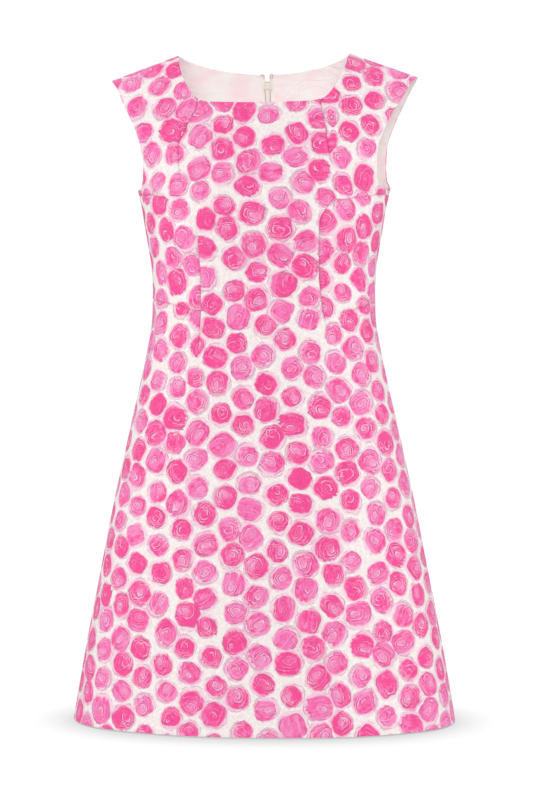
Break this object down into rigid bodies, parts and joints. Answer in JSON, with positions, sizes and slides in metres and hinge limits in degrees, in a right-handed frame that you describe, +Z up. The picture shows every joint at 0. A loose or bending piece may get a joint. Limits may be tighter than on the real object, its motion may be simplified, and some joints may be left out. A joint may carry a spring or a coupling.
{
  "type": "a-line dress",
  "caption": "Sleeveless A-line dress with a squared neck, bust and waist darts and a centre-back zip, filled out to the shape it has when worn.",
  "frame": {"origin": "midway between the two high points of the shoulder seams, where the wearer's shoulders hold the dress up", "axes": "+Z up, -Y out of the front of the dress, +X towards the right of someone who looks at the front"},
  "size_m": [0.514, 0.3123, 0.8932],
  "materials": {
    "printed_cloth": "off-white woven cotton with a pink rose-dot print, matt with a slight sheen",
    "facing_cloth": "plain pale pink facing, smooth and matt",
    "zip_tape": "cream twill tape",
    "zip_chain": "cream nylon coil",
    "zip_metal": "cream enamel on die-cast zinc"
  },
  "bodies": {
    "dress": {"front": "printed_cloth", "back_left": "printed_cloth", "back_right": "printed_cloth", "facing_front": "facing_cloth", "facing_back_left": "facing_cloth", "facing_back_right": "facing_cloth", "zip_tape_left": "zip_tape", "zip_tape_right": "zip_tape", "zip_chain": "zip_chain", "zip_slider": "zip_metal"},
    "pull_tab": {"zip_pull_tab": "zip_metal"}
  },
  "joints": [
    {"name": "pull_hinge", "type": "hinge", "parent": "dress", "child": "pull_tab", "pos_m": [0, 0.07249, -0.02834], "axis": [1, 0, 0], "range_deg": [0, 140]}
  ]
}
